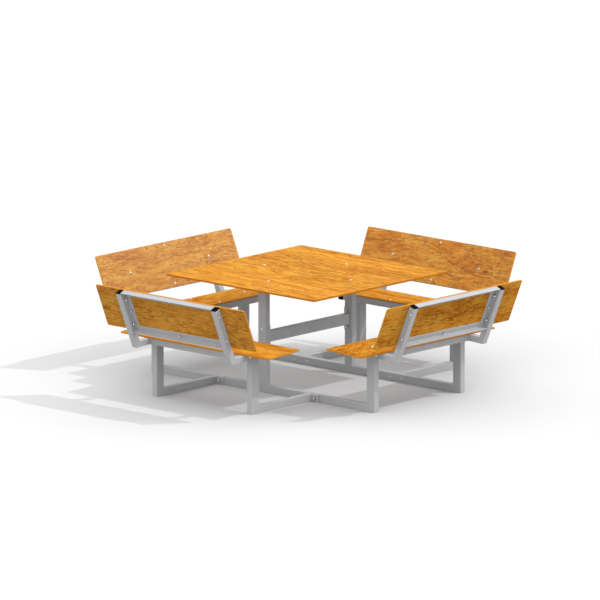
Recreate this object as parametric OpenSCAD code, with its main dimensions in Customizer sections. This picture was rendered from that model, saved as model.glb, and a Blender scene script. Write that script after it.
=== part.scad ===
// Square picnic table with four fixed benches, millimetres.
// The origin is on the ground under the centre of the table top, +Z up.
// Two long ground rails run along X. They carry the table legs and the east and west benches.
// The south and north benches stand on short ground bars that are bolted to those rails.
// A bench is drawn facing the centre from +X: x outward, y along its length.

/* [Boards] */
// Side of the square table top
top_side = 1300; // [1100:10:1500]
// Length of each seat board and each backrest board
board_len = 1300; // [1100:10:1500]
// Depth of a seat board, and height of a backrest board
board_depth = 305; // [270:5:380]
// Thickness of the table top
top_t = 12; // [8:1:18]
// Thickness of the seat and backrest boards
board_t = 10; // [8:1:14]
// Corner radius of every board
board_r = 12; // [8:1:35]
// From a long edge of a seat or backrest board in to its angle frame
frame_inset = 2; // [0:0.5:12]

/* [Plan and heights] */
// Upper face of the table top above the ground
table_h = 725; // [680:5:790]
// Distance between the centre planes of the two side frames of a bench, and of the two table legs
span = 834; // [720:2:960]
// From the centre to the outer face of the legs of the east and west benches
rail_leg_out = 980; // [900:5:1150]
// From the centre to the outer face of the legs of the south and north benches
bar_leg_out = 1010; // [900:5:1150]
// Lowest corner of a bench arm above the ground
arm_z = 351; // [320:1:400]
// From a leg's outer face out to that corner
arm_overhang = 187; // [150:1:240]

/* [Seat and backrest] */
// Slope of the seat, lower at the back, in degrees
seat_tilt = 2.8; // [1:0.1:5]
// Lean of the backrest from upright, in degrees
back_tilt = 22.5; // [15:0.5:28]
// From the arm's outer corner along the arm to the seat board's rear edge
seat_inset = 113; // [90:1:150]
// From the arm's outer corner up the post to the backrest board's lower edge
back_rise = 111; // [90:1:150]
// From the arm's outer corner up the post to the top of its cap
post_len = 412; // [380:1:440]

/* [Tubes] */
// Width of a leg tube across the bench's side view
leg_w = 66; // [50:1:80]
// Thickness of every frame tube, and side of the square tubes
tube_t = 42; // [40:1:50]
// Height of the ground rails and bars
rail_h = 50; // [40:1:60]
// Wall of every tube
wall = 2; // [1.5:0.5:3]
// Outer corner radius of every tube
tube_r = 2.5; // [2:0.5:6]
// From the angle frame under the table top out to each end of a bearer
bearer_overhang = 24; // [5:1:100]

/* [Cross beam] */
// Height of the beam between the table legs
beam_h = 72; // [50:1:90]
// Thickness of that beam
beam_t = 40; // [30:1:50]
// Height of the beam's centre above the ground
beam_z = 361; // [250:1:450]

/* [Angle frames] */
// Width of both legs of the angle iron under each board
angle_w = 40; // [30:1:40]
// Thickness of the angle iron
angle_t = 4; // [3:0.5:6]

/* [Plates] */
// Thickness of the end plates
plate_t = 8; // [6:1:12]
// Width of a beam plate
beam_plate_w = 60; // [50:1:64]
// Height of a beam plate
beam_plate_h = 150; // [140:1:200]
// Width of a ground bar's plate
bar_plate_w = 168; // [150:1:220]

/* [Fasteners] */
// Thread of the bolts in the boards
board_bolt_d = 8; // [6:1:8]
// Head of the bolts in the boards
board_head_d = 16; // [14:1:24]
// Thread of the bolts in the frames
frame_bolt_d = 10; // [8:1:12]
// Head of the bolts in the frames
frame_head_d = 18; // [16:1:26]
// Gap round a bolt in its hole
hole_gap = 0.5; // [0.3:0.1:1]
// Spacing across a seat or backrest board of its upper and lower bolt
bench_board_pitch = 256; // [180:1:262]
// Spacing of the two bolts through each post and each arm
frame_bolt_pitch = 182; // [120:2:200]
// Spacing of the two bolts through each bearer
bearer_bolt_pitch = 480; // [300:10:600]
// Spacing of the two bolts in a beam plate
beam_bolt_pitch = 107; // [104:1:120]
// Spacing of the two bolts in a ground bar's plate
bar_bolt_pitch = 108; // [90:1:122]

/* [Caps] */
// Thickness of a cap's visible head
cap_head = 6; // [2:0.5:8]
// Depth of a cap's plug inside the tube
cap_plug = 14; // [8:1:20]
// Gap between a cap's plug and the tube's wall
cap_gap = 0.3; // [0.2:0.1:0.5]

/* [Hidden] */
$fn = 48;
big = 3000;
SIDES = ["south", "east", "north", "west"];
BAR_SIDES = ["south", "north"];
HANDS = ["left", "right"];
BENCH_PARTS = [
    "seat_board", "back_board", "seat_frame", "back_frame", "left_post", "right_post",
    "left_arm", "right_arm", "left_leg", "right_leg"
];

frame_color = "#cdcfd2";
board_color = "#e79a32";
cap_color = "#1c1c1d";
bolt_color = "#bcbdbe";

// Clear width between the side frames, which the angle frames fill
clear_span = span - tube_t;
// Underside of the table top
under_top = table_h - top_t;
// Depth of the angle frame under a seat board or behind a backrest board
frame_depth = board_depth - 2 * frame_inset;
// Inner corner radius of every tube
tube_inner_r = max(tube_r - wall, 0.5);
// Mitre between a post and its arm, measured from square
arm_miter = 45 - (back_tilt - seat_tilt) / 2;
// Mitre between a leg and the rail or bar that it ends on
foot_miter = atan(rail_h / leg_w);
// Inner end of a ground bar, where its plate begins
bar_start = span / 2 + tube_t / 2 + plate_t;
// Inner end of the cross beam, where its plate begins
beam_end = span / 2 - tube_t / 2 - plate_t;
// Length of an arm tube from its outer corner to its front end
arm_len = seat_inset + board_depth - cap_head;

// Length of a bearer on top of a table leg
bearer_len = clear_span + 2 * bearer_overhang;

// Rise of a bolt's domed head, as a share of its width
head_rise = 0.28;
// Sizes of a dome nut, as shares of its thread
nut_across = 1.88;
nut_hex_h = 0.8;
nut_dome_d = 1.56;
nut_total_h = 1.85;
nut_bore_depth = 1.35;
// How far a bolt reaches into its nut, as a share of its thread
nut_reach = 1.1;
// Gap between a bolt and its nut's bore
thread_gap = 0.1;
// Spacing of the table top's bolts, and along a bench's board, from flange middle to flange middle
flange_pitch = clear_span - angle_w;
// Thickness that each kind of bolt clamps
frame_grip = tube_t + angle_t;
plate_grip = tube_t + plate_t;

function bench_turn(side) = side == "east" ? 0 : side == "north" ? 90 : side == "west" ? 180 : 270;
function on_rails(side) = side == "east" || side == "west";
function leg_out(side) = on_rails(side) ? rail_leg_out : bar_leg_out;
function hand_y(hand) = hand == "left" ? -span / 2 : span / 2;

// A rectangle with rounded corners, centred
module rounded(size_x, size_y, r) {
    square([size_x - 2 * r, size_y], center = true);
    square([size_x, size_y - 2 * r], center = true);
    for (x = [-1, 1])
        for (y = [-1, 1])
            translate([x * (size_x / 2 - r), y * (size_y / 2 - r)])
                circle(r);
}

// The section of a tube, centred
module tube_section(size_x, size_y) {
    difference() {
        rounded(size_x, size_y, tube_r);
        rounded(size_x - 2 * wall, size_y - 2 * wall, tube_inner_r);
    }
}

// A tube along X from x = 0, standing on z = 0
module tube_x(length, size_y, size_z) {
    translate([0, 0, size_z / 2])
        rotate([90, 0, 90])
            linear_extrude(length)
                tube_section(size_y, size_z);
}

// A tube along Z from z = 0, centred on the axis
module tube_z(length, size_x, size_y) {
    linear_extrude(length)
        tube_section(size_x, size_y);
}

// Everything below the plane through the origin that dips by an angle towards +X
module below(dip) {
    rotate([0, dip, 0])
        translate([-big, -big, -2 * big])
            cube(2 * big);
}

// Everything above that plane
module above(dip) {
    rotate([0, dip, 0])
        translate([-big, -big, 0])
            cube(2 * big);
}

// A bolt with its head's seat at z = 0, through a grip along -Z and on into its nut
module dome_bolt(d, head_d, grip) {
    rise = head_d * head_rise;
    ball_r = (head_d * head_d / 4 + rise * rise) / (2 * rise);
    shank = grip + nut_reach * d;
    translate([0, 0, -shank])
        cylinder(d = d, h = shank);
    intersection() {
        cylinder(d = head_d, h = rise);
        translate([0, 0, rise - ball_r])
            sphere(ball_r, $fn = 96);
    }
}

// A dome nut whose seat is at z = 0 and which lies along -Z
module dome_nut(d) {
    dome_r = nut_dome_d * d / 2;
    dome_z = dome_r - nut_total_h * d;
    bore = nut_bore_depth * d;
    difference() {
        union() {
            translate([0, 0, -nut_hex_h * d])
                cylinder(d = nut_across * d, h = nut_hex_h * d, $fn = 6);
            translate([0, 0, dome_z])
                cylinder(r = dome_r, h = -dome_z);
            translate([0, 0, dome_z])
                sphere(dome_r);
        }
        translate([0, 0, -bore])
            cylinder(d = d + 2 * thread_gap, h = bore + 1);
    }
}

// A plain hole along -Z from z = 1
module hole(d, length) {
    translate([0, 0, -length - 1])
        cylinder(d = d + 2 * hole_gap, h = length + 2);
}

// A plastic cap on a square tube that ends at z = 0
module cap() {
    plug = tube_t - 2 * wall - 2 * cap_gap;
    linear_extrude(cap_head)
        rounded(tube_t, tube_t, tube_r);
    translate([0, 0, -cap_plug])
        linear_extrude(cap_plug)
            rounded(plug, plug, tube_inner_r);
}

// Bench frames of reference

// Turns and places a bench that is drawn facing the centre from +X
module on_bench(side) {
    rotate([0, 0, bench_turn(side)])
        translate([leg_out(side), 0, 0])
            children();
}

// At the arm's outer corner: x outward along the arm, z square to the arm
module on_arm() {
    translate([arm_overhang, 0, arm_z])
        rotate([0, seat_tilt, 0])
            children();
}

// At the same corner: z up the post, x out of its rear face
module on_post() {
    translate([arm_overhang, 0, arm_z])
        rotate([0, back_tilt, 0])
            children();
}

// At the centre of the seat board's underside: x outward, z out of the board's face
module on_seat() {
    on_arm()
        translate([-seat_inset - board_depth / 2, 0, tube_t])
            children();
}

// At the centre of the backrest board's rear face: x up, z out of the board's face
module on_back() {
    on_post()
        translate([-tube_t, 0, back_rise + board_depth / 2])
            rotate([0, -90, 0])
                children();
}

// At the centre of the table top's underside
module on_top() {
    translate([0, 0, under_top])
        children();
}

// Bolt places

// The four bolts of a board, one through each flange of its angle frame
module board_bolt_places(pitch_x) {
    for (s = [-1, 1]) {
        translate([s * pitch_x / 2, 0, 0])
            children();
        translate([0, s * flange_pitch / 2, 0])
            children();
    }
}

// The bolts through the two tubes beside an angle frame, with z pointing outward
module side_bolt_places(pitch) {
    for (s = [-1, 1])
        for (x = [-1, 1])
            translate([x * pitch / 2, s * (span + tube_t) / 2, -tube_t / 2])
                rotate([-s * 90, 0, 0])
                    children();
}

// The bolts through the table legs and the beam's plates, with z pointing outward
module beam_bolt_places() {
    for (s = [-1, 1])
        for (z = [-1, 1])
            translate([0, s * (span + tube_t) / 2, beam_z + z * beam_bolt_pitch / 2])
                rotate([-s * 90, 0, 0])
                    children();
}

// The bolts through the rails and the ground bars' plates, with z pointing to the centre
module bar_bolt_places() {
    for (s = [-1, 1])
        for (bar = [-1, 1])
            for (x = [-1, 1])
                translate([bar * span / 2 + x * bar_bolt_pitch / 2, s * (span - tube_t) / 2, rail_h / 2])
                    rotate([s * 90, 0, 0])
                        children();
}

// Boards and angle frames

// A board with its underside at z = 0
module board(size_x, size_y, thick, bolt_pitch) {
    difference() {
        linear_extrude(thick)
            rounded(size_x, size_y, board_r);
        translate([0, 0, thick])
            board_bolt_places(bolt_pitch)
                hole(board_bolt_d, thick);
    }
}

// Four lengths of angle iron welded into a rectangle, flange up against a board at z = 0
module angle_frame(size_x, bolt_pitch, side_pitch) {
    flange = [size_x - 2 * angle_w, clear_span - 2 * angle_w, 4 * angle_w];
    room = [size_x - 2 * angle_t, clear_span - 2 * angle_t, 2 * angle_w];
    difference() {
        translate([0, 0, -angle_w / 2])
            cube([size_x, clear_span, angle_w], center = true);
        cube(flange, center = true);
        translate([0, 0, -angle_t - angle_w])
            cube(room, center = true);
        board_bolt_places(bolt_pitch)
            hole(board_bolt_d, angle_t);
        side_bolt_places(side_pitch)
            hole(frame_bolt_d, frame_grip);
    }
}

// Table

module table_top() {
    color(board_color)
        on_top()
            board(top_side, top_side, top_t, flange_pitch);
}

module table_frame() {
    color(frame_color)
        on_top()
            angle_frame(clear_span, flange_pitch, bearer_bolt_pitch);
}

// s is -1 for the south bearer and 1 for the north one
module bearer(s) {
    color(frame_color)
        on_top()
            difference() {
                translate([-bearer_len / 2, s * span / 2, -tube_t])
                    tube_x(bearer_len, tube_t, tube_t);
                side_bolt_places(bearer_bolt_pitch)
                    hole(frame_bolt_d, frame_grip);
            }
}

module table_leg(s) {
    color(frame_color)
        difference() {
            translate([0, s * span / 2, rail_h])
                tube_z(under_top - tube_t - rail_h, leg_w, tube_t);
            beam_bolt_places()
                hole(frame_bolt_d, plate_grip);
        }
}

module cross_beam() {
    color(frame_color)
        translate([0, -beam_end, beam_z - beam_h / 2])
            rotate([0, 0, 90])
                tube_x(2 * beam_end, beam_t, beam_h);
}

// Ground rails and bars

module ground_rail(s) {
    color(frame_color)
        difference() {
            translate([-rail_leg_out, s * span / 2, 0])
                tube_x(2 * rail_leg_out, tube_t, rail_h);
            translate([rail_leg_out, 0, 0])
                above(foot_miter);
            translate([-rail_leg_out, 0, 0])
                above(-foot_miter);
            bar_bolt_places()
                hole(frame_bolt_d, plate_grip);
        }
}

module ground_bar(hand) {
    color(frame_color)
        difference() {
            translate([bar_start - bar_leg_out, hand_y(hand), 0])
                tube_x(bar_leg_out - bar_start, tube_t, rail_h);
            above(foot_miter);
        }
}

// The plates welded on the ends of the beam and of the four ground bars
module end_plates() {
    color(frame_color)
        difference() {
            union() {
                for (s = [-1, 1]) {
                    translate([0, s * (beam_end + plate_t / 2), beam_z])
                        cube([beam_plate_w, plate_t, beam_plate_h], center = true);
                    for (bar = [-1, 1])
                        translate([bar * span / 2, s * (bar_start - plate_t / 2), rail_h / 2])
                            cube([bar_plate_w, plate_t, rail_h], center = true);
                }
            }
            beam_bolt_places()
                hole(frame_bolt_d, plate_grip);
            bar_bolt_places()
                hole(frame_bolt_d, plate_grip);
        }
}

// Bench

module seat_board() {
    color(board_color)
        on_seat()
            board(board_depth, board_len, board_t, bench_board_pitch);
}

module back_board() {
    color(board_color)
        on_back()
            board(board_depth, board_len, board_t, bench_board_pitch);
}

module seat_frame() {
    color(frame_color)
        on_seat()
            angle_frame(frame_depth, bench_board_pitch, frame_bolt_pitch);
}

module back_frame() {
    color(frame_color)
        on_back()
            angle_frame(frame_depth, bench_board_pitch, frame_bolt_pitch);
}

module post(hand) {
    color(frame_color)
        difference() {
            on_post()
                difference() {
                    translate([-tube_t / 2, hand_y(hand), 0])
                        tube_z(post_len - cap_head, tube_t, tube_t);
                    below(arm_miter);
                }
            on_back()
                side_bolt_places(frame_bolt_pitch)
                    hole(frame_bolt_d, frame_grip);
        }
}

module arm(hand) {
    color(frame_color)
        difference() {
            on_arm()
                difference() {
                    translate([-arm_len, hand_y(hand), 0])
                        tube_x(arm_len, tube_t, tube_t);
                    above(90 - arm_miter);
                }
            on_seat()
                side_bolt_places(frame_bolt_pitch)
                    hole(frame_bolt_d, frame_grip);
        }
}

module leg(hand) {
    color(frame_color)
        difference() {
            translate([-leg_w / 2, hand_y(hand), 0])
                tube_z(arm_z + arm_overhang, leg_w, tube_t);
            below(foot_miter);
            on_arm()
                above(0);
        }
}

// Caps and fasteners

module post_caps() {
    color(cap_color)
        for (side = SIDES)
            for (hand = HANDS)
                on_bench(side)
                    on_post()
                        translate([-tube_t / 2, hand_y(hand), post_len - cap_head])
                            cap();
}

module arm_caps() {
    color(cap_color) {
        for (side = SIDES)
            for (hand = HANDS)
                on_bench(side)
                    on_arm()
                        translate([-arm_len, hand_y(hand), tube_t / 2])
                            rotate([0, -90, 0])
                                cap();
        on_top()
            for (s = [-1, 1])
                for (x = [-1, 1])
                    translate([x * bearer_len / 2, s * span / 2, -tube_t / 2])
                        rotate([0, x * 90, 0])
                            cap();
    }
}

// Puts one fastener at every bolt of the table top
module at_top_bolts() {
    on_top()
        board_bolt_places(flange_pitch)
            children();
}

// Puts one fastener at every bolt of the seat and backrest boards
module at_bench_board_bolts() {
    for (side = SIDES)
        on_bench(side) {
            on_seat()
                board_bolt_places(bench_board_pitch)
                    children();
            on_back()
                board_bolt_places(bench_board_pitch)
                    children();
        }
}

// Puts one fastener at every bolt through a tube and an angle frame
module at_side_bolts() {
    on_top()
        side_bolt_places(bearer_bolt_pitch)
            children();
    for (side = SIDES)
        on_bench(side) {
            on_seat()
                side_bolt_places(frame_bolt_pitch)
                    children();
            on_back()
                side_bolt_places(frame_bolt_pitch)
                    children();
        }
}

module board_bolts() {
    color(bolt_color) {
        at_top_bolts()
            translate([0, 0, top_t])
                dome_bolt(board_bolt_d, board_head_d, top_t + angle_t);
        at_bench_board_bolts()
            translate([0, 0, board_t])
                dome_bolt(board_bolt_d, board_head_d, board_t + angle_t);
    }
}

module board_nuts() {
    color(bolt_color) {
        at_top_bolts()
            translate([0, 0, -angle_t])
                dome_nut(board_bolt_d);
        at_bench_board_bolts()
            translate([0, 0, -angle_t])
                dome_nut(board_bolt_d);
    }
}

module frame_bolts() {
    color(bolt_color) {
        at_side_bolts()
            dome_bolt(frame_bolt_d, frame_head_d, frame_grip);
        beam_bolt_places()
            dome_bolt(frame_bolt_d, frame_head_d, plate_grip);
        bar_bolt_places()
            dome_bolt(frame_bolt_d, frame_head_d, plate_grip);
    }
}

module frame_nuts() {
    color(bolt_color) {
        at_side_bolts()
            translate([0, 0, -frame_grip])
                dome_nut(frame_bolt_d);
        beam_bolt_places()
            translate([0, 0, -plate_grip])
                dome_nut(frame_bolt_d);
        bar_bolt_places()
            translate([0, 0, -plate_grip])
                dome_nut(frame_bolt_d);
    }
}

table_top();
table_frame();
bearer(-1);  // south_bearer
bearer(1);  // north_bearer
table_leg(-1);  // south_table_leg
table_leg(1);  // north_table_leg
cross_beam();
ground_rail(-1);  // south_ground_rail
ground_rail(1);  // north_ground_rail
for (side = SIDES) {
    on_bench(side) seat_board();
    on_bench(side) back_board();
    on_bench(side) seat_frame();
    on_bench(side) back_frame();
    for (hand = HANDS) {
        on_bench(side) post(hand);
        on_bench(side) arm(hand);
        on_bench(side) leg(hand);
    }
}
for (side = BAR_SIDES)
    for (hand = HANDS)
        on_bench(side) ground_bar(hand);
end_plates();
post_caps();
arm_caps();
board_bolts();
board_nuts();
frame_bolts();
frame_nuts();
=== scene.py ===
import math

import bmesh
import bpy
from mathutils import Matrix, Vector


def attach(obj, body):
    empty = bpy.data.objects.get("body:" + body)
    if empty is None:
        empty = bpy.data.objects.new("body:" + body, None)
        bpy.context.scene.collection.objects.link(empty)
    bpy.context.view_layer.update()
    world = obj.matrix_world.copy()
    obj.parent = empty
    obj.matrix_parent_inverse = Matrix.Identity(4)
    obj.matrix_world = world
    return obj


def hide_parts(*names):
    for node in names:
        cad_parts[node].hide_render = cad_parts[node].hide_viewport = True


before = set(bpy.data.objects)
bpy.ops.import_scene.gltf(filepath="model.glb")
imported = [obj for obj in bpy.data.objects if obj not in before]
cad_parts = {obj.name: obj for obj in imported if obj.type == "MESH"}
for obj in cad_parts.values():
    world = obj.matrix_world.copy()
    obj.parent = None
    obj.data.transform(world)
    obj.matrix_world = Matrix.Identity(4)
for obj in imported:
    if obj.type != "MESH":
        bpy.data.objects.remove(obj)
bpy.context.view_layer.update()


# The camera stands far off with a very long lens, 42 degrees round from the south and 11 degrees up,
# so that the view is nearly parallel, as the photograph's is.
VIEW_TURN, VIEW_RISE = math.radians(42.38), math.radians(11.45)
VIEW_WIDTH, VIEW_DISTANCE = 3.899, 80.0
VIEW_CENTRE, VIEW_SHIFT_LEFT, VIEW_SHIFT_UP = Vector((0, 0, 0.400)), 0.0485, 0.1392
CLIP_NEAR, CLIP_FAR = 1.0, 200.0

right = Vector((math.cos(VIEW_TURN), math.sin(VIEW_TURN), 0))
towards = Vector((math.sin(VIEW_TURN) * math.cos(VIEW_RISE), -math.cos(VIEW_TURN) * math.cos(VIEW_RISE),
                  math.sin(VIEW_RISE)))
upward = towards.cross(right)
target = VIEW_CENTRE - VIEW_SHIFT_LEFT * right + VIEW_SHIFT_UP * upward
camera = bpy.data.objects.new("camera", bpy.data.cameras.new("camera"))
camera.data.lens = camera.data.sensor_width * VIEW_DISTANCE / VIEW_WIDTH
camera.data.clip_start, camera.data.clip_end = CLIP_NEAR, CLIP_FAR
camera.matrix_world = Matrix.Translation(target + VIEW_DISTANCE * towards) @ Matrix(
    (right, upward, towards)).transposed().to_4x4()
bpy.context.scene.collection.objects.link(camera)
bpy.context.scene.camera = camera
bpy.context.scene.view_settings.view_transform = "Standard"


# The studio: a white floor under an even white sky, and one hard lamp in the north-east, 49 degrees up.
# Sky and lamp together give a level white surface a brightness of just about one.
SKY_LEVEL, SKY_SEEN = 0.91, 1.0
LAMP_LEVEL, LAMP_WIDTH = 0.68, math.radians(0.25)
LAMP_FROM = Vector((0.698, 0.513, 1.0))
FLOOR_REACH, FLOOR_SQUARES, FLOOR_DROP = 40.0, 8, 0.0005
FLOOR_WHITE, FLOOR_IN_BOUNCES = (0.97, 0.97, 0.97, 1), (0.31, 0.31, 0.31, 1)


def set_inputs(tree, node, inputs):
    """Fills inputs of a node, each with a plain value or with a link from another node's output."""
    for name, value in inputs.items():
        if isinstance(value, bpy.types.NodeSocket):
            tree.links.new(value, node.inputs[name])
        else:
            node.inputs[name].default_value = value


def add_node(tree, kind, inputs=None, **settings):
    """One node in a tree, with its settings and its inputs."""
    node = tree.nodes.new(kind)
    for name, value in settings.items():
        setattr(node, name, value)
    set_inputs(tree, node, inputs or {})
    return node


def maths(tree, operation, first, second=0.0):
    """The result of one operation on one or two values."""
    return add_node(tree, "ShaderNodeMath", {0: first, 1: second}, operation=operation).outputs[0]


world = bpy.data.worlds.new("white_sky")
bpy.context.scene.world = world
world.use_nodes = True
sky = world.node_tree
sky.nodes.clear()
ray = add_node(sky, "ShaderNodeLightPath").outputs
seen = maths(sky, "MAXIMUM", ray["Is Camera Ray"], ray["Is Glossy Ray"])
seen = maths(sky, "MAXIMUM", seen, ray["Is Transmission Ray"])
strength = add_node(sky, "ShaderNodeMix", {"Factor": seen, "A": SKY_LEVEL, "B": SKY_SEEN})
background = add_node(sky, "ShaderNodeBackground", {"Color": (1, 1, 1, 1), "Strength": strength.outputs[0]})
add_node(sky, "ShaderNodeOutputWorld", {"Surface": background.outputs[0]})

lamp = bpy.data.objects.new("lamp", bpy.data.lights.new("lamp", "SUN"))
lamp.data.energy = LAMP_LEVEL
lamp.data.angle = LAMP_WIDTH
lamp.rotation_euler = LAMP_FROM.to_track_quat("Z", "Y").to_euler()
bpy.context.scene.collection.objects.link(lamp)


def new_material(name):
    """A material, its node tree and its Principled shader."""
    material = bpy.data.materials.new(name)
    material.use_nodes = True
    tree = material.node_tree
    tree.nodes.clear()
    shader = add_node(tree, "ShaderNodeBsdfPrincipled")
    add_node(tree, "ShaderNodeOutputMaterial", {"Surface": shader.outputs["BSDF"]})
    return material, tree, shader


def mixed(tree, share, base, colour):
    """A colour laid over a base by a share from 0 to 1."""
    return add_node(tree, "ShaderNodeMix", {"Factor": share, 6: base, 7: colour}, data_type="RGBA").outputs[2]


floor_mesh = bmesh.new()
bmesh.ops.create_grid(floor_mesh, x_segments=FLOOR_SQUARES, y_segments=FLOOR_SQUARES, size=FLOOR_REACH / 2)
floor_data = bpy.data.meshes.new("floor")
floor_mesh.to_mesh(floor_data)
floor_mesh.free()
floor = bpy.data.objects.new("floor", floor_data)
floor.location.z = -FLOOR_DROP
bpy.context.scene.collection.objects.link(floor)
floor_material, floor_tree, floor_shader = new_material("floor_white")
floor_bounce = add_node(floor_tree, "ShaderNodeLightPath").outputs["Is Diffuse Ray"]
floor_tone = mixed(floor_tree, floor_bounce, FLOOR_WHITE, FLOOR_IN_BOUNCES)
set_inputs(floor_tree, floor_shader, {"Base Color": floor_tone, "Roughness": 1.0, "Specular IOR Level": 0.0})
floor_data.materials.append(floor_material)


# The steel frame: tubes, plates and angle irons, cut, welded and powder coated in one satin light grey.
# The coat has a fine orange peel, slight clouding, and wears a little brighter on the arrises.
PAINT_GREY, PAINT_IN_BOUNCES = (0.67, 0.675, 0.69, 1), (0.28, 0.28, 0.29, 1)
CLOUDS_PER_METRE, SPECKS_PER_METRE = 5.5, 60.0
ARRIS_REACH, FLAT_FACING, ARRIS_FACING = 0.0025, 0.995, 0.88
SATIN_LOW, SATIN_HIGH, PEEL_RELIEF = 0.36, 0.46, 0.25


def ranged(tree, value, low, high, to_low=0.0, to_high=1.0):
    """A value carried over from one range to another, and held within it."""
    return add_node(tree, "ShaderNodeMapRange", {"Value": value, "From Min": low, "From Max": high,
                                                 "To Min": to_low, "To Max": to_high}).outputs[0]


def noise(tree, per_metre, detail=2.0, roughness=0.5):
    """Noise that lies still on the object."""
    place = add_node(tree, "ShaderNodeTexCoord").outputs["Object"]
    return add_node(tree, "ShaderNodeTexNoise", {"Vector": place, "Scale": per_metre, "Detail": detail,
                                                 "Roughness": roughness}).outputs["Fac"]


def new_effect(name, inputs):
    """An empty effect with its own inputs, which gives out a colour, a roughness and a height."""
    group = bpy.data.node_groups.new(name, "ShaderNodeTree")
    for socket, kind in inputs.items():
        group.interface.new_socket(name=socket, in_out="INPUT", socket_type=kind)
    for socket, kind in (("Colour", "NodeSocketColor"), ("Roughness", "NodeSocketFloat"),
                         ("Height", "NodeSocketFloat")):
        group.interface.new_socket(name=socket, in_out="OUTPUT", socket_type=kind)
    return group, add_node(group, "NodeGroupInput").outputs


def powder_coat_effect():
    """A coat that clouds, wears brighter in specks along the arrises and has an orange peel."""
    group, given = new_effect("powder_coat", {"Colour": "NodeSocketColor", "Cloud": "NodeSocketFloat",
                                              "Worn Edge": "NodeSocketFloat",
                                              "Peel Scale": "NodeSocketFloat"})
    cloud = ranged(group, noise(group, CLOUDS_PER_METRE, 4.0, 0.6), 0.3, 0.7, -1.0, 1.0)
    bevel = add_node(group, "ShaderNodeBevel", {"Radius": ARRIS_REACH}, samples=4)
    facing = add_node(group, "ShaderNodeNewGeometry").outputs["Normal"]
    turn = add_node(group, "ShaderNodeVectorMath", {0: bevel.outputs[0], 1: facing}, operation="DOT_PRODUCT")
    edge = ranged(group, turn.outputs["Value"], FLAT_FACING, ARRIS_FACING)
    speck = ranged(group, noise(group, SPECKS_PER_METRE, 3.0), 0.35, 0.65, 0.35, 1.0)
    worn = maths(group, "MULTIPLY", maths(group, "MULTIPLY", edge, speck), given["Worn Edge"])
    level = maths(group, "ADD", maths(group, "MULTIPLY", cloud, given["Cloud"]), worn)
    level = maths(group, "ADD", level, 1.0)
    colour = add_node(group, "ShaderNodeVectorMath", {0: given["Colour"], "Scale": level}, operation="SCALE")
    add_node(group, "NodeGroupOutput", {"Colour": colour.outputs["Vector"],
                                        "Roughness": ranged(group, cloud, -1.0, 1.0, SATIN_LOW, SATIN_HIGH),
                                        "Height": noise(group, given["Peel Scale"])})
    return group


powder_coat = powder_coat_effect()


def painted(name, cloud, worn, peel_scale, peel_depth, gloss):
    """Powder-coated steel, made from the shared effect with its own values."""
    material, tree, shader = new_material(name)
    coat = add_node(tree, "ShaderNodeGroup", {"Colour": PAINT_GREY, "Cloud": cloud, "Worn Edge": worn,
                                              "Peel Scale": peel_scale}, node_tree=powder_coat).outputs
    peel = add_node(tree, "ShaderNodeBump", {"Height": coat["Height"], "Strength": PEEL_RELIEF,
                                             "Distance": peel_depth})
    bounce = add_node(tree, "ShaderNodeLightPath").outputs["Is Diffuse Ray"]
    set_inputs(tree, shader, {"Base Color": mixed(tree, bounce, coat["Colour"], PAINT_IN_BOUNCES),
                              "Roughness": coat["Roughness"], "Normal": peel.outputs[0], "Metallic": 0.0,
                              "Specular IOR Level": gloss})
    return material


tube_paint = painted("tube_paint", cloud=0.035, worn=0.10, peel_scale=700.0, peel_depth=0.0002, gloss=0.35)
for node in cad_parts.values():
    if node.material_slots[0].material.name.startswith("frame"):
        node.material_slots[0].material = tube_paint


# Nine frames of rolled angle iron, 40 by 40 by 4 mm, mitred and welded at the corners: one under the top,
# one under each seat and one behind each backrest. The toes and the root are rounded as rolled.
ANGLE_LEG, ANGLE_THICK = 0.040, 0.004
ROOT_RADIUS, TOE_RADIUS, HEEL_RADIUS = 0.0045, 0.002, 0.0005
ROOT_STEPS, TOE_STEPS, HEEL_STEPS = 5, 4, 2
SIDE_SPAN, TUBE = 0.834, 0.042
CLEAR_SPAN = SIDE_SPAN - TUBE
BOARD_DEPTH, FRAME_INSET = 0.305, 0.002
BENCH_FRAME_DEPTH = BOARD_DEPTH - 2 * FRAME_INSET
TABLE_HEIGHT, TOP_THICK = 0.725, 0.012
TOP_UNDERSIDE = TABLE_HEIGHT - TOP_THICK
BENCH_TURNS = {"east": 0, "north": 90, "west": 180, "south": 270}
RAIL_LEG_OUT, BAR_LEG_OUT = 0.980, 1.010
LEG_OUT = {"east": RAIL_LEG_OUT, "north": BAR_LEG_OUT, "west": RAIL_LEG_OUT, "south": BAR_LEG_OUT}
ARM_HEIGHT, ARM_OVERHANG = 0.351, 0.187
SEAT_TILT, BACK_TILT = math.radians(2.8), math.radians(22.5)
SEAT_INSET, BACK_RISE = 0.113, 0.111
SHARP_FROM = math.radians(40)
CORNERS = ((1, 1), (-1, 1), (-1, -1), (1, -1))
angle_paint = painted("angle_paint", cloud=0.045, worn=0.14, peel_scale=600.0, peel_depth=0.0003, gloss=0.0)


def bench_place(side):
    """Origin on the ground at the outer faces of a bench's legs, x outward."""
    turn = Matrix.Rotation(math.radians(BENCH_TURNS[side]), 4, "Z")
    return turn @ Matrix.Translation((LEG_OUT[side], 0, 0))


def corner_place(side, tilt):
    """Origin at the outer corner of arm and post, turned with the one or the other."""
    corner = Matrix.Translation((ARM_OVERHANG, 0, ARM_HEIGHT))
    return bench_place(side) @ corner @ Matrix.Rotation(tilt, 4, "Y")


def seat_place(side):
    """Centre of a seat board's underside, z out of its face."""
    return corner_place(side, SEAT_TILT) @ Matrix.Translation((-SEAT_INSET - BOARD_DEPTH / 2, 0, TUBE))


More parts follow.
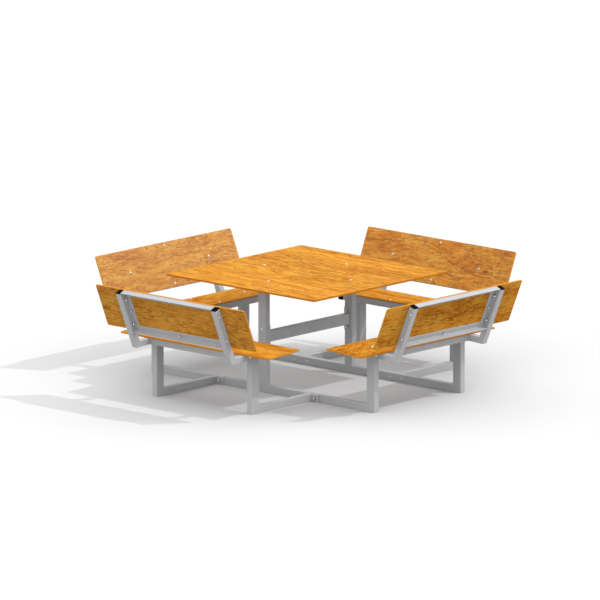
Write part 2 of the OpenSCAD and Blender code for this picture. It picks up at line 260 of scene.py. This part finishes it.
def back_place(side):
    """Centre of a backrest board's rear face, x up and z out of its face."""
    return (corner_place(side, BACK_TILT) @ Matrix.Translation((-TUBE, 0, BACK_RISE + BOARD_DEPTH / 2))
            @ Matrix.Rotation(-math.pi / 2, 4, "Y"))


def new_piece(name, maker, material, slot, *stands_for):
    """An object of the part: its mesh from a bmesh, its material and its place under the root body. The slot
    is not used.
    """
    mesh = bpy.data.meshes.new(name)
    bmesh.ops.recalc_face_normals(maker, faces=maker.faces)
    maker.to_mesh(mesh)
    maker.free()
    mesh.materials.append(material)
    piece = bpy.data.objects.new(name, mesh)
    bpy.context.scene.collection.objects.link(piece)
    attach(piece, "root")
    if stands_for:
        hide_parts(*stands_for)
    return piece


def smooth_rounds(piece):
    """Smooth shading over the rounds only, with the flat faces kept flat."""
    piece.data.shade_smooth()
    piece.data.set_sharp_from_angle(angle=SHARP_FROM)
    weighted = piece.modifiers.new("flat_faces", "WEIGHTED_NORMAL")
    weighted.keep_sharp = True


def arc(centre, radius, start, end, steps):
    """Points of an arc in degrees."""
    return [(centre[0] + radius * math.cos(math.radians(start + (end - start) * k / steps)),
             centre[1] + radius * math.sin(math.radians(start + (end - start) * k / steps)))
            for k in range(steps + 1)]


def skin(maker, rings):
    """Faces from each ring of vertices to the next."""
    count = len(rings[0])
    return [maker.faces.new((near[i], near[(i + 1) % count], far[(i + 1) % count], far[i]))
            for near, far in zip(rings, rings[1:]) for i in range(count)]


def angle_profile():
    """Section of the rolled angle: how far in from the outer face, and how far down from the board."""
    heel = arc((HEEL_RADIUS, HEEL_RADIUS), HEEL_RADIUS, 180, 270, HEEL_STEPS)
    flange_toe = arc((ANGLE_LEG - TOE_RADIUS, ANGLE_THICK - TOE_RADIUS), TOE_RADIUS, 0, 90, TOE_STEPS)
    root_centre = ANGLE_THICK + ROOT_RADIUS
    root = arc((root_centre, root_centre), ROOT_RADIUS, 270, 180, ROOT_STEPS)
    leg_toe = arc((ANGLE_THICK - TOE_RADIUS, ANGLE_LEG - TOE_RADIUS), TOE_RADIUS, 0, 90, TOE_STEPS)
    return heel + [(ANGLE_LEG, 0)] + flange_toe + root + leg_toe + [(0, ANGLE_LEG)]


def frame_corner(size_x, sx, sy, inward, down):
    """A point at one corner of an angle frame, moved in along the mitre and down from the board."""
    return Vector((sx * (size_x / 2 - inward), sy * (CLEAR_SPAN / 2 - inward), -down))


def make_angle_frame(name, size_x, place):
    """One welded rectangle of angle iron against the plane of its place."""
    maker = bmesh.new()
    rings = [[maker.verts.new(place @ frame_corner(size_x, sx, sy, inward, down))
              for inward, down in angle_profile()] for sx, sy in CORNERS]
    skin(maker, rings + rings[:1])
    smooth_rounds(new_piece(name + "_rolled", maker, angle_paint, "frame", name))


top_place = Matrix.Translation((0, 0, TOP_UNDERSIDE))
angle_frames = [("table_frame", CLEAR_SPAN, top_place)]
for side in BENCH_TURNS:
    angle_frames += [(side + "_seat_frame", BENCH_FRAME_DEPTH, seat_place(side)),
                     (side + "_back_frame", BENCH_FRAME_DEPTH, back_place(side))]
for name, size_x, place in angle_frames:
    make_angle_frame(name, size_x, place)


# Welds: narrow rippled beads along the mitres and round the butt joints of tubes, plates and angles,
# coated over with the rest of the frame. Those on flush faces are ground down until they hardly show.
BEAD_RADIUS, BEAD_STEP, BEAD_SUNK, BEAD_SIDES = 0.0022, 0.0035, 0.0016, 8
BEAD_SWELL, BEAD_DIP, BEAD_TIP = 1.0, 0.90, 0.45
CORNER_CLEAR, GROUND_CLEAR = 0.002, 0.003
HALF_SPAN, HALF_TUBE, LEG_WIDTH, RAIL_HEIGHT = SIDE_SPAN / 2, TUBE / 2, 0.066, 0.050
BEAM_WIDTH, BEAM_HEIGHT, BEAM_CENTRE, PLATE_THICK = 0.040, 0.072, 0.361, 0.008
BEAM_END = HALF_SPAN - HALF_TUBE - PLATE_THICK
BAR_START = HALF_SPAN + HALF_TUBE + PLATE_THICK


def close_ends(maker, rings):
    """A face on the first ring of vertices and one on the last."""
    maker.faces.new(list(reversed(rings[0])))
    maker.faces.new(rings[-1])


def bead(maker, place, start, end):
    """One straight run of weld between two points of a place."""
    start, end = place @ Vector(start), place @ Vector(end)
    axis = (end - start).normalized()
    side = axis.orthogonal().normalized()
    other = axis.cross(side)
    count = max(2, round((end - start).length / BEAD_STEP))
    rings = []
    for k in range(count + 1):
        swell = BEAD_TIP if k in (0, count) else (BEAD_SWELL if k % 2 else BEAD_DIP)
        centre, radius = start.lerp(end, k / count), BEAD_RADIUS * swell
        rings.append([maker.verts.new(centre + radius * (side * math.cos(a) + other * math.sin(a)))
                      for a in (math.tau * i / BEAD_SIDES for i in range(BEAD_SIDES))])
    for face in skin(maker, rings):
        face.smooth = True
    close_ends(maker, rings)


def beads_on_sides(maker, place, centre_y, start, end):
    """The same run on both side faces of a tube, sunk into them. Start and end are x and z."""
    for s in (-1, 1):
        y = centre_y + s * (HALF_TUBE - BEAD_SUNK)
        bead(maker, place, (start[0], y, start[1]), (end[0], y, end[1]))


def bead_across(maker, place, centre_y, x, z):
    """A run across the width of a tube."""
    reach = HALF_TUBE - CORNER_CLEAR
    bead(maker, place, (x, centre_y - reach, z), (x, centre_y + reach, z))


ground = Matrix.Identity(4)
beam_bottom, beam_top = BEAM_CENTRE - BEAM_HEIGHT / 2, BEAM_CENTRE + BEAM_HEIGHT / 2
table_welds = bmesh.new()
for s in (-1, 1):
    for z in (RAIL_HEIGHT, TOP_UNDERSIDE - TUBE):
        beads_on_sides(table_welds, ground, s * HALF_SPAN, (-LEG_WIDTH / 2, z), (LEG_WIDTH / 2, z))
        for x in (-LEG_WIDTH / 2, LEG_WIDTH / 2):
            bead_across(table_welds, ground, s * HALF_SPAN, x, z)
    for x in (-BEAM_WIDTH / 2, BEAM_WIDTH / 2):
        bead(table_welds, ground, (x, s * BEAM_END, beam_bottom), (x, s * BEAM_END, beam_top))
    for z in (beam_bottom, beam_top):
        bead(table_welds, ground, (-BEAM_WIDTH / 2, s * BEAM_END, z), (BEAM_WIDTH / 2, s * BEAM_END, z))
    for bar in (-1, 1):
        for x in (bar * HALF_SPAN - HALF_TUBE, bar * HALF_SPAN + HALF_TUBE):
            bead(table_welds, ground, (x, s * BAR_START, GROUND_CLEAR),
                 (x, s * BAR_START, RAIL_HEIGHT - CORNER_CLEAR))
new_piece("table_welds", table_welds, tube_paint, "frame")

bench_welds = bmesh.new()
leg_outer, leg_inner = (-reach / math.cos(SEAT_TILT) for reach in (ARM_OVERHANG, ARM_OVERHANG + LEG_WIDTH))
mitre_in = TUBE * math.tan(math.pi / 4 - (BACK_TILT - SEAT_TILT) / 2)
for side in BENCH_TURNS:
    foot, arm = bench_place(side), corner_place(side, SEAT_TILT)
    for y in (-HALF_SPAN, HALF_SPAN):
        beads_on_sides(bench_welds, foot, y, (-CORNER_CLEAR, GROUND_CLEAR), (-LEG_WIDTH, RAIL_HEIGHT))
        bead_across(bench_welds, foot, y, -LEG_WIDTH, RAIL_HEIGHT)
        beads_on_sides(bench_welds, arm, y, (leg_outer, 0), (leg_inner, 0))
        bead_across(bench_welds, arm, y, leg_outer, 0)
        bead_across(bench_welds, arm, y, leg_inner, 0)
        beads_on_sides(bench_welds, arm, y, (-CORNER_CLEAR / 2, CORNER_CLEAR), (-mitre_in, TUBE))
        bead_across(bench_welds, arm, y, -mitre_in, TUBE)
new_piece("bench_welds", bench_welds, tube_paint, "frame")

angle_welds = bmesh.new()
root_end, toe_end = ANGLE_THICK + ROOT_RADIUS, ANGLE_LEG - CORNER_CLEAR
for _, size_x, place in angle_frames:
    for sx, sy in CORNERS:
        bead(angle_welds, place, frame_corner(size_x, sx, sy, toe_end, ANGLE_THICK - BEAD_SUNK),
             frame_corner(size_x, sx, sy, root_end, ANGLE_THICK - BEAD_SUNK))
        bead(angle_welds, place, frame_corner(size_x, sx, sy, ANGLE_THICK, root_end),
             frame_corner(size_x, sx, sy, ANGLE_THICK, toe_end))
new_piece("angle_welds", angle_welds, tube_paint, "frame")


# Boards: compact laminate with a satin golden-brown wood decor laid as planks along the length, and edges
# in a browner core with the arrises broken by a millimetre, a darker core on the top as painted shade and a
# lighter one on the benches as painted light. One square top, four seats and four backrests.
BOARD_THICK, BOARD_LENGTH = 0.010, 1.300
BOARD_CORNER, BOARD_ARRIS, CORNER_STEPS, ARRIS_STEPS = 0.012, 0.0012, 8, 3
FRONT_FACING = 0.5
WOOD_LIGHT = (1.00, 0.505, 0.066, 1)
WOOD_MIDDLE = (0.98, 0.315, 0.014, 1)
WOOD_DARK = (0.32, 0.052, 0.002, 1)
# The core on the top's edges is darker, painted shade; on the benches' edges it is lighter, painted light on
# the lit rims.
TOP_CORE_SHADED, BENCH_CORE_LIT = (0.66, 0.23, 0.020, 1), (0.90, 0.36, 0.035, 1)
BOARD_IN_BOUNCES = (0.52, 0.44, 0.39, 1)
BOARD_ROUGH_HIGH, BOARD_ROUGH_LOW, PORE_RELIEF, PORE_DEPTH = 0.62, 0.54, 0.15, 0.0002
PLANK_LENGTH, PLANK_WIDTH, PLANK_STAGGER = 0.92, 0.205, 0.37
PLANK_JUMP, PLANK_DARKEST, PLANK_LIGHTEST = (3.1, 1.7, 9.0), 0.95, 1.05

# Layers of the print: waves per metre along and across the board, then any width or reach, then strength.
BEND_WAVES, BEND_REACH = (2.6, 4.5), (0.16, 0.10, 0.0)
CURL_WAVES, CURL_REACH = (13.0, 21.0), (0.030, 0.013, 0.0)
BUSY_WAVES, BUSY_LEAST, BUSY_IN_CALM_PLANK = (3.0, 8.0), 0.40, 0.55
ZONE_WAVES, ZONE_LIGHT, ZONE_DARK = (3.2, 12.0), 0.68, 0.20
CLOUD_WAVES, CLOUD_LIGHT, CLOUD_DARK = (7.0, 26.0), 0.70, 0.32
MOTTLE_WAVES, MOTTLE_LIGHT, MOTTLE_DARK = (15.0, 66.0), 0.85, 0.56
LONG_VEIN_WAVES, LONG_VEIN_WIDTH, LONG_VEIN_FAINT, LONG_VEIN_DARK = (8.0, 48.0), 0.030, 0.50, 0.80
SHORT_VEIN_WAVES, SHORT_VEIN_WIDTH, SHORT_VEIN_DARK = (20.0, 90.0), 0.050, 0.74
RING_WAVES, RINGS_TO_A_HILL, RING_WIDTH, RING_DARK = (1.9, 9.0), 11.0, 0.09, 0.60
RING_ZONE_WAVES = (1.7, 5.0)
FLECK_WAVES, FLECK_LIGHT = (44.0, 130.0), 0.22
PORE_WAVES, PORE_DARK = (110.0, 900.0), 0.20


def wood_decor_effect():
    """Printed planks of unlike grain: clouds of tone, curling dark veins, arched rings and gold flecks."""
    group, given = new_effect("wood_decor", {"Place": "NodeSocketVector", "Light": "NodeSocketColor",
                                             "Middle": "NodeSocketColor", "Dark": "NodeSocketColor",
                                             "Light Share": "NodeSocketFloat"})

    def times(a, b):
        return maths(group, "MULTIPLY", a, b)

    def moved(amount, reach, base):
        """A base moved by an amount times a reach."""
        return add_node(group, "ShaderNodeVectorMath", {0: amount, 1: reach, 2: base},
                        operation="MULTIPLY_ADD").outputs["Vector"]

    def grain(place, waves, shift=0.0, detail=3.0, roughness=0.5, output="Fac"):
        """Noise drawn out along the board. The shift sets each layer apart from the others."""
        drawn = moved(place, (*waves, 1.0), (shift, shift, shift))
        return add_node(group, "ShaderNodeTexNoise", {"Vector": drawn, "Scale": 1.0, "Detail": detail,
                                                      "Roughness": roughness}).outputs[output]

    planks = add_node(group, "ShaderNodeTexBrick", {
        "Vector": given["Place"], "Color1": (0, 0, 0, 1), "Color2": (1, 1, 1, 1),
        "Mortar": (0.5, 0.5, 0.5, 1), "Scale": 1.0, "Mortar Size": 0.0, "Bias": 0.0,
        "Brick Width": PLANK_LENGTH, "Row Height": PLANK_WIDTH}, offset=PLANK_STAGGER).outputs["Color"]
    cell = moved(planks, PLANK_JUMP, given["Place"])
    bent = moved(grain(cell, BEND_WAVES, detail=2.0, output="Color"), BEND_REACH, cell)
    flow = moved(grain(cell, CURL_WAVES, shift=5.0, detail=2.0, output="Color"), CURL_REACH, bent)
    busy = times(ranged(group, grain(cell, BUSY_WAVES, shift=11.0), 0.38, 0.56, BUSY_LEAST, 1.0),
                 ranged(group, planks, 0.0, 1.0, 1.0, BUSY_IN_CALM_PLANK))
    zones = grain(bent, ZONE_WAVES, shift=41.0, detail=2.0)
    clouds = grain(flow, CLOUD_WAVES, shift=2.0, detail=5.0, roughness=0.66)
    mottle = grain(flow, MOTTLE_WAVES, shift=3.0, detail=4.0, roughness=0.55)

    def veins(waves, half_width, shift):
        """Thin lines where the noise passes its middle."""
        off_middle = maths(group, "SUBTRACT", grain(flow, waves, shift, detail=2.0, roughness=0.42), 0.5)
        return ranged(group, maths(group, "ABSOLUTE", off_middle), 0.0, half_width, 1.0, 0.0)

    long_veins = veins(LONG_VEIN_WAVES, LONG_VEIN_WIDTH, shift=7.0)
    short_veins = veins(SHORT_VEIN_WAVES, SHORT_VEIN_WIDTH, shift=13.0)
    hills = times(grain(bent, RING_WAVES, shift=23.0, detail=1.0), RINGS_TO_A_HILL)
    rings = times(ranged(group, maths(group, "PINGPONG", hills, 0.5), 0.0, RING_WIDTH, 1.0, 0.0),
                  ranged(group, grain(cell, RING_ZONE_WAVES, shift=31.0), 0.46, 0.54))
    flecks = ranged(group, grain(flow, FLECK_WAVES, shift=17.0, detail=2.0), 0.54, 0.64)
    pores = ranged(group, grain(flow, PORE_WAVES, shift=1.0, detail=2.0), 0.50, 0.80)

    light, dark, tone = given["Light"], given["Dark"], given["Middle"]
    for colour, mask in (
            (light, ranged(group, clouds, 0.49, 0.62, 0.0, CLOUD_LIGHT)),
            (light, ranged(group, mottle, 0.51, 0.62, 0.0, MOTTLE_LIGHT)),
            (light, given["Light Share"]),
            (light, ranged(group, zones, 0.50, 0.60, 0.0, ZONE_LIGHT)),
            (dark, ranged(group, zones, 0.49, 0.40, 0.0, ZONE_DARK)),
            (dark, ranged(group, clouds, 0.48, 0.36, 0.0, CLOUD_DARK)),
            (dark, times(ranged(group, mottle, 0.48, 0.38, 0.0, MOTTLE_DARK), busy)),
            (dark, times(long_veins, ranged(group, busy, 0.2, 1.0, LONG_VEIN_FAINT, LONG_VEIN_DARK))),
            (dark, times(times(short_veins, busy), SHORT_VEIN_DARK)),
            (dark, times(rings, RING_DARK)),
            (light, times(flecks, FLECK_LIGHT)),
            (dark, times(pores, PORE_DARK))):
        tone = mixed(group, mask, tone, colour)
    level = ranged(group, planks, 0.0, 1.0, PLANK_DARKEST, PLANK_LIGHTEST)
    tone = add_node(group, "ShaderNodeVectorMath", {0: tone, "Scale": level}, operation="SCALE")
    rough = ranged(group, clouds, 0.3, 0.7, BOARD_ROUGH_HIGH, BOARD_ROUGH_LOW)
    add_node(group, "NodeGroupOutput", {"Colour": tone.outputs["Vector"], "Roughness": rough,
                                        "Height": pores})
    return group


wood_decor = wood_decor_effect()


def laminate(name, light_share, core_colour, gloss):
    """A board material: the decor on the faces and the core at the edges."""
    material, tree, shader = new_material(name)
    place = add_node(tree, "ShaderNodeAttribute", attribute_name="board_place").outputs["Vector"]
    core = add_node(tree, "ShaderNodeAttribute", attribute_name="board_core").outputs["Fac"]
    wood = add_node(tree, "ShaderNodeGroup", {
        "Place": place, "Light": WOOD_LIGHT, "Middle": WOOD_MIDDLE, "Dark": WOOD_DARK,
        "Light Share": light_share}, node_tree=wood_decor).outputs
    colour = mixed(tree, core, wood["Colour"], core_colour)
    bounce = add_node(tree, "ShaderNodeLightPath").outputs["Is Diffuse Ray"]
    relief = add_node(tree, "ShaderNodeBump", {"Height": wood["Height"], "Strength": PORE_RELIEF,
                                               "Distance": PORE_DEPTH})
    set_inputs(tree, shader, {"Base Color": mixed(tree, bounce, colour, BOARD_IN_BOUNCES),
                              "Roughness": wood["Roughness"], "Normal": relief.outputs[0],
                              "Specular IOR Level": gloss})
    return material


top_laminate = laminate("top_laminate", light_share=0.50, core_colour=TOP_CORE_SHADED, gloss=0.01)
seat_laminate = laminate("seat_laminate", light_share=0.10, core_colour=BENCH_CORE_LIT, gloss=0.01)
# Each backrest has its own copies of the laminate. The west front is lighter in tone than the other fronts,
# painted light where the lamp falls on it, and glossier; the south rear is lighter in tone than the other
# rears, painted light in its shade, and glossier.
back_laminates_painted_light = {side: laminate(side + "_back_laminate_painted_light", light_share, BENCH_CORE_LIT, gloss)
                  for side, light_share, gloss in (("east", 0.14, 0.42), ("north", 0.14, 0.42),
                                                   ("west", 0.50, 0.80), ("south", 0.14, 0.42))}
rear_laminates_painted_light = {side: laminate(side + "_rear_laminate_painted_light", light_share, BENCH_CORE_LIT, gloss)
                  for side, light_share, gloss in (("east", 0.34, 0.03), ("north", 0.34, 0.03),
                                                   ("west", 0.34, 0.03), ("south", 0.66, 0.12))}

# Where each board is cut from the printed sheet, and how far the print is drawn out along it.
SHEET_STEP, SHEET_START = 1.37, 0.052
TOP_CUT, FIRST_SEAT_CUT, FIRST_BACK_CUT = 0, 3, 11
TOP_STRETCH, SEAT_STRETCH, BACK_STRETCH = 1.8, 1.4, 1.0


def rounded_outline(size_x, size_y, radius, inset, steps):
    """Points round a rectangle with round corners, all moved in by the inset."""
    points = []
    for turn, (sx, sy) in enumerate(CORNERS):
        centre = (sx * (size_x / 2 - radius), sy * (size_y / 2 - radius))
        points += arc(centre, radius - inset, 90 * turn, 90 * turn + 90, steps)
    return points


def stack(maker, loops):
    """Skins a closed stack of outlines that have one count of points. Each loop is a list of points."""
    rings = [[maker.verts.new(point) for point in loop] for loop in loops]
    skin(maker, rings)
    close_ends(maker, rings)


def make_board(name, size_x, thick, place, stretch, cut, front, rear):
    """One board on the plane of its place. The mesh keeps where each point lies in the decor sheet, whose
    planks run along x on the top and along y on the benches."""
    lower = arc((BOARD_ARRIS, BOARD_ARRIS), BOARD_ARRIS, 270, 180, ARRIS_STEPS)
    profile = lower + [(inset, thick - height) for inset, height in reversed(lower)]
    maker = bmesh.new()
    stack(maker, [[(x, y, height) for x, y in
                   rounded_outline(size_x, BOARD_LENGTH, BOARD_CORNER, inset, CORNER_STEPS)]
                  for inset, height in profile])
    piece = new_piece(name + "_laminate", maker, front, "board", name)
    if rear is not front:
        piece.data.materials.append(rear)
        for face in piece.data.polygons:
            face.material_index = 1 if face.normal.z < FRONT_FACING else 0
    piece.data.attributes.new("board_place", "FLOAT_VECTOR", "POINT")
    piece.data.attributes.new("board_core", "FLOAT", "POINT")
    sheet, core = piece.data.attributes["board_place"].data, piece.data.attributes["board_core"].data
    shift = Vector((SHEET_STEP * cut, PLANK_WIDTH * cut + SHEET_START, 0.0))
    for vertex, sheet_entry, core_entry in zip(piece.data.vertices, sheet, core):
        x, y, z = vertex.co
        along, across = (x, y) if name == "table_top" else (y, x)
        sheet_entry.vector = Vector((along / stretch, across, z)) + shift
        core_entry.value = 1.0 if BOARD_ARRIS / 3 < z < thick - BOARD_ARRIS / 3 else 0.0
    piece.data.transform(place)
    smooth_rounds(piece)


make_board("table_top", BOARD_LENGTH, TOP_THICK, top_place, TOP_STRETCH, TOP_CUT, top_laminate, top_laminate)
for number, side in enumerate(BENCH_TURNS):
    make_board(side + "_seat_board", BOARD_DEPTH, BOARD_THICK, seat_place(side), SEAT_STRETCH,
               FIRST_SEAT_CUT + number, seat_laminate, seat_laminate)
    make_board(side + "_back_board", BOARD_DEPTH, BOARD_THICK, back_place(side), BACK_STRETCH,
               FIRST_BACK_CUT + number, back_laminates_painted_light[side], rear_laminates_painted_light[side])


# Caps: moulded black plastic with a low rounded head, pushed into the open ends of posts, arms and bearers
# until the head seats on the tube. A plain plug with a tapered tip holds each of them.
CAP_BLACK = (0.0015, 0.0015, 0.0017, 1)
CAP_GRAINS_PER_METRE, CAP_ROUGH_LOW, CAP_ROUGH_HIGH = 900.0, 0.44, 0.56
CAP_RELIEF, CAP_RELIEF_DEPTH, CAP_GLOSS = 0.2, 0.0002, 0.02
TUBE_WALL, TUBE_CORNER, TUBE_CORNER_STEPS, PLUG_GAP = 0.002, 0.0025, 4, 0.0003
CAP_HEAD, CAP_PLUG, PLUG_TAPER = 0.006, 0.014, 0.002
PLUG_SIDE = TUBE - 2 * (TUBE_WALL + PLUG_GAP)
POST_TOP, BEARER_OVERHANG = 0.412, 0.024
POST_LENGTH, ARM_LENGTH = POST_TOP - CAP_HEAD, SEAT_INSET + BOARD_DEPTH - CAP_HEAD
BEARER_HALF = CLEAR_SPAN / 2 + BEARER_OVERHANG

# Side and height of each level of a cap, from the tip of its plug to the face of its head.
CAP_LEVELS = ((PLUG_SIDE - PLUG_TAPER, -CAP_PLUG), (PLUG_SIDE, PLUG_TAPER - CAP_PLUG), (PLUG_SIDE, 0.0),
              (TUBE, 0.0), (TUBE, 0.0050), (TUBE - 0.0006, 0.0057), (TUBE - 0.0018, CAP_HEAD))

cap_material, cap_tree, cap_shader = new_material("cap_plastic")
cap_grain = noise(cap_tree, CAP_GRAINS_PER_METRE)
cap_bump = add_node(cap_tree, "ShaderNodeBump", {"Height": cap_grain, "Strength": CAP_RELIEF,
                                                 "Distance": CAP_RELIEF_DEPTH})
cap_rough = ranged(cap_tree, cap_grain, 0.3, 0.7, CAP_ROUGH_LOW, CAP_ROUGH_HIGH)
set_inputs(cap_tree, cap_shader, {"Base Color": CAP_BLACK, "Roughness": cap_rough,
                                  "Normal": cap_bump.outputs[0], "Specular IOR Level": CAP_GLOSS})


def make_caps(name, places):
    """All the caps of one node. Each place has its origin at the tube's end, z out of it."""
    maker = bmesh.new()
    for place in places:
        stack(maker, [[place @ Vector((x, y, z)) for x, y in
                       rounded_outline(side, side, TUBE_CORNER, 0.0, TUBE_CORNER_STEPS)]
                      for side, z in CAP_LEVELS])
    smooth_rounds(new_piece(name + "_moulded", maker, cap_material, "cap", name))


post_ends, arm_ends = [], []
for side in BENCH_TURNS:
    for y in (-HALF_SPAN, HALF_SPAN):
        post_ends.append(corner_place(side, BACK_TILT) @ Matrix.Translation((-HALF_TUBE, y, POST_LENGTH)))
        arm_ends.append(corner_place(side, SEAT_TILT) @ Matrix.Translation((-ARM_LENGTH, y, HALF_TUBE))
                        @ Matrix.Rotation(-math.pi / 2, 4, "Y"))
for x in (-1, 1):
    for y in (-HALF_SPAN, HALF_SPAN):
        arm_ends.append(Matrix.Translation((x * BEARER_HALF, y, TOP_UNDERSIDE - HALF_TUBE))
                        @ Matrix.Rotation(x * math.pi / 2, 4, "Y"))
make_caps("post_caps", post_ends)
make_caps("arm_caps", arm_ends)


# Fasteners: zinc-plated steel, a lighter copy on the dome-headed bolts in the boards, which is painted light,
# and a darker copy on the bolts through the tubes and on all the dome nuts, which is painted shade. All are
# darkened by the head with painted shade.
ZINC_LIT, ZINC_SHADED = (0.82, 0.85, 0.89, 1), (0.74, 0.74, 0.75, 1)
# Painted shade on the fasteners: a near black colour laid by ambient occlusion beside the seat of each head.
ZINC_PAINTED_SHADE, PAINTED_SHADE_REACH, UNSHADED_FROM = (0.05, 0.05, 0.05, 1), 0.006, 0.95
SPANGLES_PER_METRE = 350.0


def zinc(name, colour, low_rough, high_rough, low_open):
    """Plated steel with a faint spangle, darkened with painted shade beside the seat of the head, where the
    occlusion is high.
    """
    material, tree, shader = new_material(name)
    rough = ranged(tree, noise(tree, SPANGLES_PER_METRE), 0.3, 0.7, low_rough, high_rough)
    openness = add_node(tree, "ShaderNodeAmbientOcclusion", {"Distance": PAINTED_SHADE_REACH}, samples=8)
    # The darker the occlusion, the more painted shade replaces the zinc colour.
    unshaded = ranged(tree, openness.outputs["AO"], low_open, UNSHADED_FROM)
    set_inputs(tree, shader, {"Base Color": mixed(tree, unshaded, ZINC_PAINTED_SHADE, colour), "Roughness": rough,
                              "Metallic": 1.0})
    return material


# The lighter copy is painted light, the darker copy painted shade; the darker one also takes a deeper painted
# shade by the heads.
lit_zinc = zinc("lit_zinc", ZINC_LIT, low_rough=0.16, high_rough=0.26, low_open=0.0)
shaded_zinc = zinc("shaded_zinc", ZINC_SHADED, low_rough=0.14, high_rough=0.24, low_open=0.45)
for name, material in (("board_bolts", lit_zinc), ("frame_bolts", shaded_zinc),
                       ("board_nuts", shaded_zinc), ("frame_nuts", shaded_zinc)):
    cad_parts[name].material_slots[0].material = material
